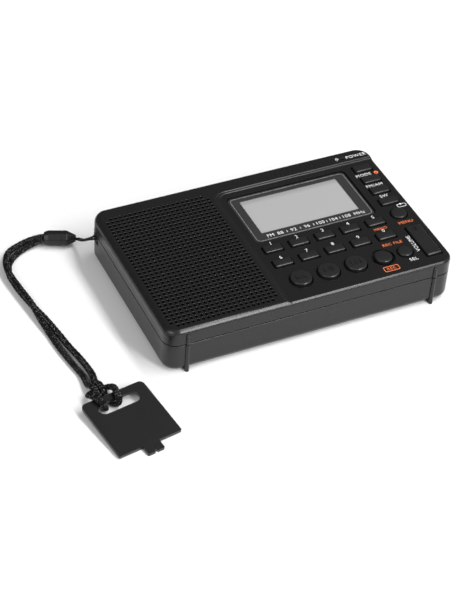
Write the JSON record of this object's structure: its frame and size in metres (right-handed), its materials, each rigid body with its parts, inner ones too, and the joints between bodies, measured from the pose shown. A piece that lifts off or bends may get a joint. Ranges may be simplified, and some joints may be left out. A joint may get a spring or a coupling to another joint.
{
  "type": "shortwave receiver",
  "caption": "Pocket shortwave radio with speaker grille, display, keypad, telescopic aerial, and a wrist strap that carries a slotted stand plate.",
  "frame": {"origin": "centre of the case's footprint, ribs included, on the surface that the back's feet stand on", "axes": "+X towards the side with the sockets, +Y towards the top side that holds the aerial, +Z out of the front face"},
  "size_m": [0.156, 0.1256, 0.0207],
  "materials": {
    "case_black": "satin moulded black plastic",
    "key_black": "satin black plastic",
    "dark_plastic": "semi-gloss black plastic",
    "grey_rubber": "matte",
    "smoked_lens": "polished, printed from behind",
    "display_grey": "frosted grey",
    "circuit_board": "green solder mask",
    "bright_chrome": "polished",
    "steel": "plain",
    "copper": "enamelled wire",
    "ferrite_black": "matte ceramic",
    "cone_paper": "black paper",
    "battery_grey": "printed film over a metal can",
    "black_nylon": "braided nylon"
  },
  "bodies": {
    "radio": {"front_case": "case_black", "rear_case": "case_black", "battery_contacts": "copper", "case_screw_left_top": "steel", "case_screw_left_bottom": "steel", "case_screw_right_top": "steel", "case_screw_right_bottom": "steel", "display_lens": "smoked_lens", "display_module": "display_grey", "main_board": "circuit_board", "key_mat": "grey_rubber", "speaker_basket": "steel", "speaker_cone": "cone_paper", "speaker_magnet": "steel", "microphone": "steel", "ferrite_rod": "ferrite_black", "ferrite_coil": "copper", "headphone_socket": "dark_plastic", "aux_socket": "dark_plastic", "usb_socket": "steel", "card_socket": "steel", "strap_cord": "black_nylon", "strap_bead": "dark_plastic", "strap_braid": "black_nylon", "stand_plate": "case_black"},
    "battery_cover": {"battery_cover": "case_black"},
    "battery": {"battery": "battery_grey"},
    "key_1": {"key_1": "key_black"},
    "key_2": {"key_2": "key_black"},
    "key_3": {"key_3": "key_black"},
    "key_4": {"key_4": "key_black"},
    "key_5": {"key_5": "key_black"},
    "key_6": {"key_6": "key_black"},
    "key_7": {"key_7": "key_black"},
    "key_8": {"key_8": "key_black"},
    "key_9": {"key_9": "key_black"},
    "key_0": {"key_0": "key_black"},
    "key_power": {"key_power": "key_black"},
    "key_mode": {"key_mode": "key_black"},
    "key_fm_am": {"key_fm_am": "key_black"},
    "key_sw": {"key_sw": "key_black"},
    "key_previous": {"key_previous": "key_black"},
    "key_play": {"key_play": "key_black"},
    "key_next": {"key_next": "key_black"},
    "key_record": {"key_record": "key_black"},
    "key_select": {"key_select": "key_black"},
    "key_menu": {"key_menu": "key_black"},
    "key_volume": {"key_volume": "key_black"},
    "aerial_base": {"aerial_base": "bright_chrome"},
    "aerial_section_1": {"aerial_section_1": "bright_chrome"},
    "aerial_section_2": {"aerial_section_2": "bright_chrome"},
    "aerial_section_3": {"aerial_section_3": "bright_chrome"},
    "aerial_section_4": {"aerial_section_4": "bright_chrome"},
    "aerial_section_5": {"aerial_section_5": "bright_chrome", "aerial_tip": "bright_chrome"}
  },
  "joints": [
    {"name": "key_1_press", "type": "slide", "parent": "radio", "child": "key_1", "axis": [0, 0, -1], "range_m": [0, 0.0004], "stiffness_N_per_m": 900, "springref_m": -0.0003},
    {"name": "key_2_press", "type": "slide", "parent": "radio", "child": "key_2", "axis": [0, 0, -1], "range_m": [0, 0.0004], "stiffness_N_per_m": 900, "springref_m": -0.0003},
    {"name": "key_3_press", "type": "slide", "parent": "radio", "child": "key_3", "axis": [0, 0, -1], "range_m": [0, 0.0004], "stiffness_N_per_m": 900, "springref_m": -0.0003},
    {"name": "key_4_press", "type": "slide", "parent": "radio", "child": "key_4", "axis": [0, 0, -1], "range_m": [0, 0.0004], "stiffness_N_per_m": 900, "springref_m": -0.0003},
    {"name": "key_5_press", "type": "slide", "parent": "radio", "child": "key_5", "axis": [0, 0, -1], "range_m": [0, 0.0004], "stiffness_N_per_m": 900, "springref_m": -0.0003},
    {"name": "key_6_press", "type": "slide", "parent": "radio", "child": "key_6", "axis": [0, 0, -1], "range_m": [0, 0.0004], "stiffness_N_per_m": 900, "springref_m": -0.0003},
    {"name": "key_7_press", "type": "slide", "parent": "radio", "child": "key_7", "axis": [0, 0, -1], "range_m": [0, 0.0004], "stiffness_N_per_m": 900, "springref_m": -0.0003},
    {"name": "key_8_press", "type": "slide", "parent": "radio", "child": "key_8", "axis": [0, 0, -1], "range_m": [0, 0.0004], "stiffness_N_per_m": 900, "springref_m": -0.0003},
    {"name": "key_9_press", "type": "slide", "parent": "radio", "child": "key_9", "axis": [0, 0, -1], "range_m": [0, 0.0004], "stiffness_N_per_m": 900, "springref_m": -0.0003},
    {"name": "key_0_press", "type": "slide", "parent": "radio", "child": "key_0", "axis": [0, 0, -1], "range_m": [0, 0.0004], "stiffness_N_per_m": 900, "springref_m": -0.0003},
    {"name": "key_power_press", "type": "slide", "parent": "radio", "child": "key_power", "axis": [0, 0, -1], "range_m": [0, 0.0004], "stiffness_N_per_m": 900, "springref_m": -0.0003},
    {"name": "key_mode_press", "type": "slide", "parent": "radio", "child": "key_mode", "axis": [0, 0, -1], "range_m": [0, 0.0004], "stiffness_N_per_m": 900, "springref_m": -0.0003},
    {"name": "key_fm_am_press", "type": "slide", "parent": "radio", "child": "key_fm_am", "axis": [0, 0, -1], "range_m": [0, 0.0004], "stiffness_N_per_m": 900, "springref_m": -0.0003},
    {"name": "key_sw_press", "type": "slide", "parent": "radio", "child": "key_sw", "axis": [0, 0, -1], "range_m": [0, 0.0004], "stiffness_N_per_m": 900, "springref_m": -0.0003},
    {"name": "key_previous_press", "type": "slide", "parent": "radio", "child": "key_previous", "axis": [0, 0, -1], "range_m": [0, 0.0004], "stiffness_N_per_m": 900, "springref_m": -0.0003},
    {"name": "key_play_press", "type": "slide", "parent": "radio", "child": "key_play", "axis": [0, 0, -1], "range_m": [0, 0.0004], "stiffness_N_per_m": 900, "springref_m": -0.0003},
    {"name": "key_next_press", "type": "slide", "parent": "radio", "child": "key_next", "axis": [0, 0, -1], "range_m": [0, 0.0004], "stiffness_N_per_m": 900, "springref_m": -0.0003},
    {"name": "key_record_press", "type": "slide", "parent": "radio", "child": "key_record", "axis": [0, 0, -1], "range_m": [0, 0.0004], "stiffness_N_per_m": 900, "springref_m": -0.0003},
    {"name": "key_select_press", "type": "slide", "parent": "radio", "child": "key_select", "axis": [0, 0, -1], "range_m": [0, 0.0004], "stiffness_N_per_m": 900, "springref_m": -0.0003},
    {"name": "key_menu_press", "type": "slide", "parent": "radio", "child": "key_menu", "axis": [0, 0, -1], "range_m": [0, 0.0004], "stiffness_N_per_m": 900, "springref_m": -0.0003},
    {"name": "key_volume_rock", "type": "hinge", "parent": "radio", "child": "key_volume", "pos_m": [0.05385, -0.02307, 0.0167], "axis": [1, 0, 0], "range_deg": [-2, 2], "stiffness_Nm_per_rad": 0.3},
    {"name": "battery_cover_lift", "type": "slide", "parent": "radio", "child": "battery_cover", "axis": [0, 0, -1], "range_m": [0, 0.02]},
    {"name": "battery_lift", "type": "slide", "parent": "radio", "child": "battery", "axis": [0, 0, -1], "range_m": [0, 0.01]},
    {"name": "aerial_swivel", "type": "hinge", "parent": "radio", "child": "aerial_base", "pos_m": [-0.051, 0.03572, 0.00395], "axis": [0, 1, 0], "range_deg": [0, 90]},
    {"name": "aerial_tilt", "type": "hinge", "parent": "aerial_base", "child": "aerial_section_1", "pos_m": [-0.051, 0.03572, 0.00395], "axis": [0, 0, 1], "range_deg": [0, 90]},
    {"name": "aerial_section_2_slide", "type": "slide", "parent": "aerial_section_1", "child": "aerial_section_2", "axis": [1, 0, 0], "range_m": [0, 0.08]},
    {"name": "aerial_section_3_slide", "type": "slide", "parent": "aerial_section_2", "child": "aerial_section_3", "axis": [1, 0, 0], "range_m": [0, 0.08]},
    {"name": "aerial_section_4_slide", "type": "slide", "parent": "aerial_section_3", "child": "aerial_section_4", "axis": [1, 0, 0], "range_m": [0, 0.08]},
    {"name": "aerial_section_5_slide", "type": "slide", "parent": "aerial_section_4", "child": "aerial_section_5", "axis": [1, 0, 0], "range_m": [0, 0.08]}
  ],
  "couplings": [
    {"joint": "battery_lift", "follows": "battery_cover_lift", "ratio": 0.5}
  ]
}
